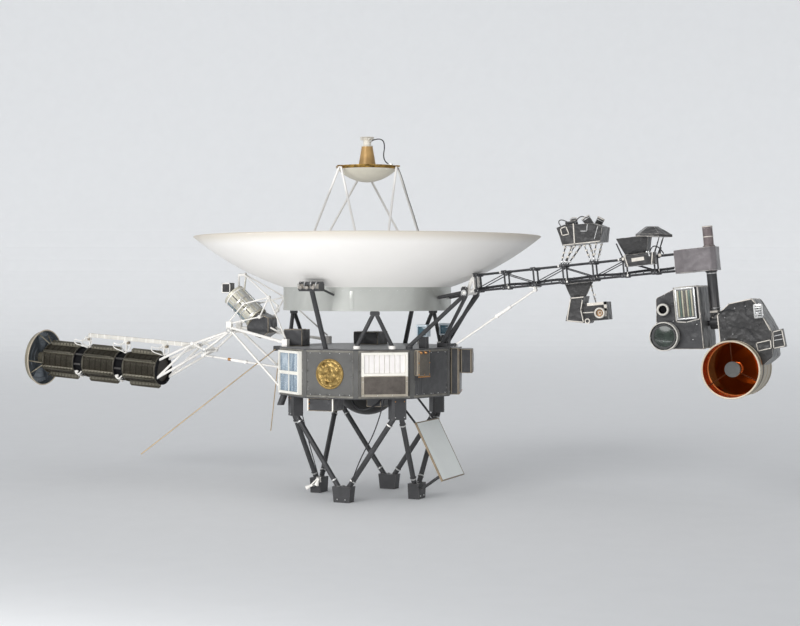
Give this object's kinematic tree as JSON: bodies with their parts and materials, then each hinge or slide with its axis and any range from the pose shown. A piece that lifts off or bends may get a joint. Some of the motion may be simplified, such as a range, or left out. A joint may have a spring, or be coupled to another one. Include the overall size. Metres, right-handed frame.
{
  "type": "space probe",
  "caption": "Deep-space probe with a dish antenna over a polygonal bus, folding instrument and generator booms and a steerable scan platform.",
  "frame": {"origin": "on the dish axis, in the plane of the four adapter feet", "axes": "+Z along the dish boresight, +X under the science boom, -X under the generator boom"},
  "size_m": [8.6181, 3.6598, 3.8136],
  "materials": {
    "white_paint": "matte",
    "bus_shell": "satin",
    "bay_core": "satin",
    "ring_paint": "satin",
    "edge_strip": "satin",
    "louver_frame": "satin",
    "louver_blade": "polished",
    "gilt": "polished",
    "black_blanket": "satin",
    "black_tube": "satin",
    "white_tube": "satin",
    "foot_block": "satin",
    "tank_metal": "satin",
    "target_white": "matte",
    "feed_tan": "satin",
    "generator_case": "satin",
    "shield_steel": "satin",
    "silver_trim": "polished",
    "copper_rod": "satin",
    "telescope_shell": "satin",
    "beige_case": "satin"
  },
  "bodies": {
    "spacecraft": {"adapter_feet": "foot_block", "adapter_nodes": "foot_block", "adapter_struts": "black_tube", "bay_panels": "bus_shell", "bus_boxes": "black_blanket", "bus_covers": "bus_shell", "canister_truss": "white_tube", "centre_feed": "feed_tan", "corner_posts": "edge_strip", "dish_reflector": "white_paint", "dish_ring": "ring_paint", "electronics_bays": "bay_core", "generator_outrigger": "white_tube", "gilded_disc": "gilt", "louver_blades": "louver_blade", "louver_frames": "louver_frame", "magnetometer_base": "black_blanket", "magnetometer_canister": "beige_case", "propellant_tank": "tank_metal", "science_outrigger": "black_tube", "star_trackers": "silver_trim", "subreflector": "white_paint", "subreflector_legs": "white_tube", "subreflector_rim": "gilt", "target_plate": "target_white", "target_plate_struts": "black_tube", "thruster_clusters": "black_blanket", "truss_fittings": "white_tube", "truss_struts": "black_tube", "upper_feed": "feed_tan", "whip_antennas": "copper_rod"},
    "science_boom": {"azimuth_housing": "beige_case", "charged_particle_unit": "black_blanket", "cosmic_ray_unit": "black_blanket", "plasma_unit": "black_blanket", "science_boom_frames": "black_tube", "science_boom_root": "white_tube", "science_boom_tubes": "black_tube"},
    "generator_boom": {"cable_tray": "white_tube", "end_shield": "shield_steel", "generator_boom_frame": "white_tube", "generator_couplings": "black_tube", "generator_inner": "generator_case", "generator_middle": "generator_case", "generator_outer": "generator_case"},
    "scan_platform": {"camera_barrels": "silver_trim", "camera_housing": "black_blanket", "infrared_telescope": "telescope_shell", "instrument_block": "black_blanket", "platform_shaft": "silver_trim", "polarimeter_unit": "silver_trim", "secondary_mirror": "silver_trim"},
    "generator_brace_inner": {"generator_brace_inner": "white_tube"},
    "generator_brace_outer": {"generator_brace_outer": "white_tube"},
    "scan_mast": {"scan_mast": "beige_case"},
    "science_brace_lower": {"science_brace_lower": "white_tube"},
    "science_brace_upper": {"science_brace_upper": "white_tube"}
  },
  "joints": [
    {"name": "science_boom_fold", "type": "hinge", "parent": "spacecraft", "child": "science_boom", "pos_m": [1.17, 0, 2.172], "axis": [0, 1, 0], "range_deg": [0, 60]},
    {"name": "science_brace_lower_fold", "type": "hinge", "parent": "spacecraft", "child": "science_brace_lower", "pos_m": [1.003, 0, 1.634], "axis": [0, 1, 0], "range_deg": [0, 92.2]},
    {"name": "science_brace_upper_fold", "type": "hinge", "parent": "science_boom", "child": "science_brace_upper", "pos_m": [1.865, 0, 2.2], "axis": [0, 1, 0], "range_deg": [-85.8, 0]},
    {"name": "scan_azimuth", "type": "hinge", "parent": "science_boom", "child": "scan_mast", "pos_m": [3.62295, 0, 2.48856], "axis": [-0.0958, 0, 0.9954], "range_deg": [-180, 180]},
    {"name": "scan_elevation", "type": "hinge", "parent": "scan_mast", "child": "scan_platform", "pos_m": [3.68046, 0, 1.89132], "axis": [0.9954, 0, 0.0958], "range_deg": [-100, 110]},
    {"name": "generator_boom_fold", "type": "hinge", "parent": "spacecraft", "child": "generator_boom", "pos_m": [-1.62, 0, 1.753], "axis": [0, -1, 0], "range_deg": [0, 90]},
    {"name": "generator_brace_inner_fold", "type": "hinge", "parent": "spacecraft", "child": "generator_brace_inner", "pos_m": [-1.05, 0, 1.356], "axis": [0, -1, 0], "range_deg": [0, 105.7]},
    {"name": "generator_brace_outer_fold", "type": "hinge", "parent": "generator_boom", "child": "generator_brace_outer", "pos_m": [-2.012, 0, 1.467], "axis": [0, -1, 0], "range_deg": [-134.4, 0]}
  ],
  "couplings": [
    {"joint": "science_brace_lower_fold", "follows": "science_boom_fold", "ratio": 1.5281},
    {"joint": "science_brace_upper_fold", "follows": "science_boom_fold", "ratio": -1.4209},
    {"joint": "generator_brace_inner_fold", "follows": "generator_boom_fold", "ratio": 1.1689},
    {"joint": "generator_brace_outer_fold", "follows": "generator_boom_fold", "ratio": -1.4878}
  ]
}
